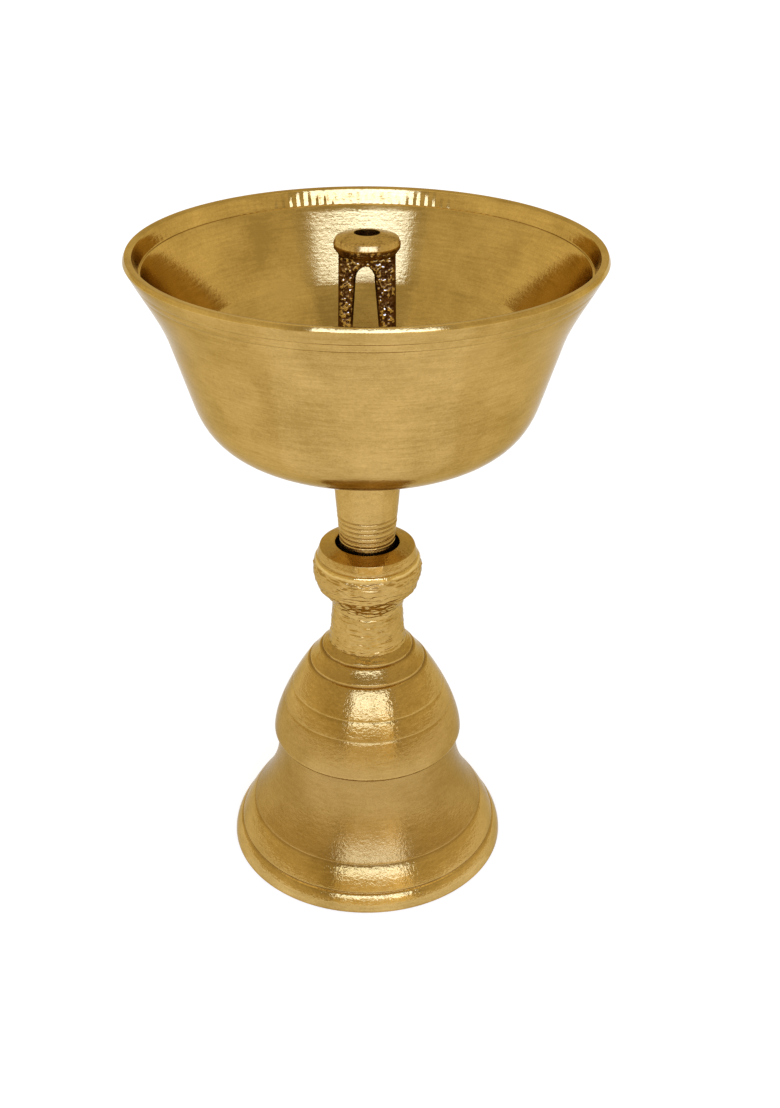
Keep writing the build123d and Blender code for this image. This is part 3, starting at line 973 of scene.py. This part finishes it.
def make_world():
    """A plain warm room: a soft glow below the window, dimmer walls round it, and a brighter ceiling."""
    world = bpy.data.worlds.new("studio")
    bpy.context.scene.world = world
    world.use_nodes = True
    tree = world.node_tree
    tree.nodes.clear()
    output = tree.nodes.new("ShaderNodeOutputWorld")
    way = node(tree, "SeparateXYZ", {0: node(tree, "TexCoord").outputs["Generated"]}).outputs
    side = math_node(tree, "ARCTAN2", way["X"], math_node(tree, "MULTIPLY", way["Y"], -1.0))
    rise = math_node(tree, "ARCSINE", way["Z"])
    left = within(tree, side, WINDOW_LEFT - STRIP_WIDTH, WINDOW_LEFT)
    right = within(tree, side, WINDOW_RIGHT, WINDOW_RIGHT + STRIP_WIDTH)
    front = within(tree, side, WINDOW_LEFT, WINDOW_RIGHT)
    lintel = math_node(tree, "MULTIPLY", front, within(tree, rise, WINDOW_HIGH, LINTEL_HIGH))
    shade = math_node(tree, "MAXIMUM", lintel, math_node(tree, "MAXIMUM", left, right))
    glow = math_node(tree, "MULTIPLY", front, within(tree, rise, 0.0, WINDOW_LOW))
    level = spread(tree, rise, ROOM_LOW, ROOM_HIGH, ROOM_LOW_LEVEL, ROOM_LEVEL)
    level = math_node(tree, "MULTIPLY_ADD", glow, GLOW_LEVEL - ROOM_LOW_LEVEL, level)
    gleam = math_node(tree, "MULTIPLY", glow, within(tree, side, GLEAM_LEFT, WINDOW_RIGHT))
    level = math_node(tree, "MULTIPLY_ADD", gleam, GLEAM_LEVEL - GLOW_LEVEL, level)
    dimmed = spread(tree, shade, 0.0, 1.0, 1.0, SHADE_LEVEL / ROOM_LEVEL)
    level = math_node(tree, "MULTIPLY", level, dimmed)
    ceiling_edge = (LINTEL_HIGH - SOFT_EDGE, LINTEL_HIGH + SOFT_EDGE)
    ceiling = spread(tree, rise, *ceiling_edge, 0.0, CEILING_LEVEL - ROOM_LEVEL)
    level = math_node(tree, "ADD", level, ceiling)
    back = node(tree, "Background", {"Color": ROOM_TINT, "Strength": level})
    tree.links.new(back.outputs[0], output.inputs[0])


def make_window():
    """One broad soft light in front of the lamp, upright like a window behind the camera."""
    left = WINDOW_DISTANCE * math.tan(WINDOW_LEFT)
    right = WINDOW_DISTANCE * math.tan(WINDOW_RIGHT)
    low = WINDOW_DISTANCE * math.tan(WINDOW_LOW)
    high = WINDOW_DISTANCE * math.tan(WINDOW_HIGH)
    light = bpy.data.lights.new("window", "AREA")
    light.shape = "RECTANGLE"
    light.size = right - left
    light.size_y = high - low
    light.energy = WINDOW_RADIANCE * math.pi * light.size * light.size_y
    light.color = WINDOW_TINT
    lamp = bpy.data.objects.new("window", light)
    lamp.location = ((left + right) / 2, -WINDOW_DISTANCE, (low + high) / 2)
    lamp.rotation_euler = (math.radians(90), 0, 0)
    lamp.visible_camera = False
    bpy.context.scene.collection.objects.link(lamp)


def make_fill():
    """A weak soft light on the floor in front of the lamp, in three layers that fade outwards."""
    for width, length in FILL_SIZES:
        light = bpy.data.lights.new("fill", "AREA")
        light.shape = "ELLIPSE"
        light.size = width
        light.size_y = length
        light.energy = FILL_RADIANCE * math.pi * math.pi * width * length / 4
        light.color = FILL_TINT
        lamp = bpy.data.objects.new("fill", light)
        lamp.location = FILL_PLACE
        lamp.rotation_euler = (math.pi, 0, 0)
        lamp.visible_camera = False
        bpy.context.scene.collection.objects.link(lamp)


def make_camera():
    """The camera at the photograph's place and angle."""
    ahead = Vector((math.sin(CAMERA_YAW) * math.cos(CAMERA_PITCH),
                    math.cos(CAMERA_YAW) * math.cos(CAMERA_PITCH),
                    -math.sin(CAMERA_PITCH)))
    level = Vector((math.cos(CAMERA_YAW), -math.sin(CAMERA_YAW), 0))
    over = level.cross(ahead)
    right = math.cos(CAMERA_ROLL) * level + math.sin(CAMERA_ROLL) * over
    above = math.cos(CAMERA_ROLL) * over - math.sin(CAMERA_ROLL) * level
    turn = Matrix((right, above, -ahead)).transposed().to_4x4()
    data = bpy.data.cameras.new("camera")
    data.sensor_width = SENSOR
    data.lens = FOCAL_PIXELS * SENSOR / PHOTO_HEIGHT
    data.clip_start = CLIP_START
    camera = bpy.data.objects.new("camera", data)
    camera.matrix_world = Matrix.Translation(CAMERA_PLACE) @ turn
    bpy.context.scene.collection.objects.link(camera)
    bpy.context.scene.camera = camera


make_base()
make_stem()
make_bowl()
make_washer()
make_wick_holder()
make_floor()
make_world()
make_window()
make_fill()
make_camera()
bpy.context.scene.view_settings.view_transform = "Standard"
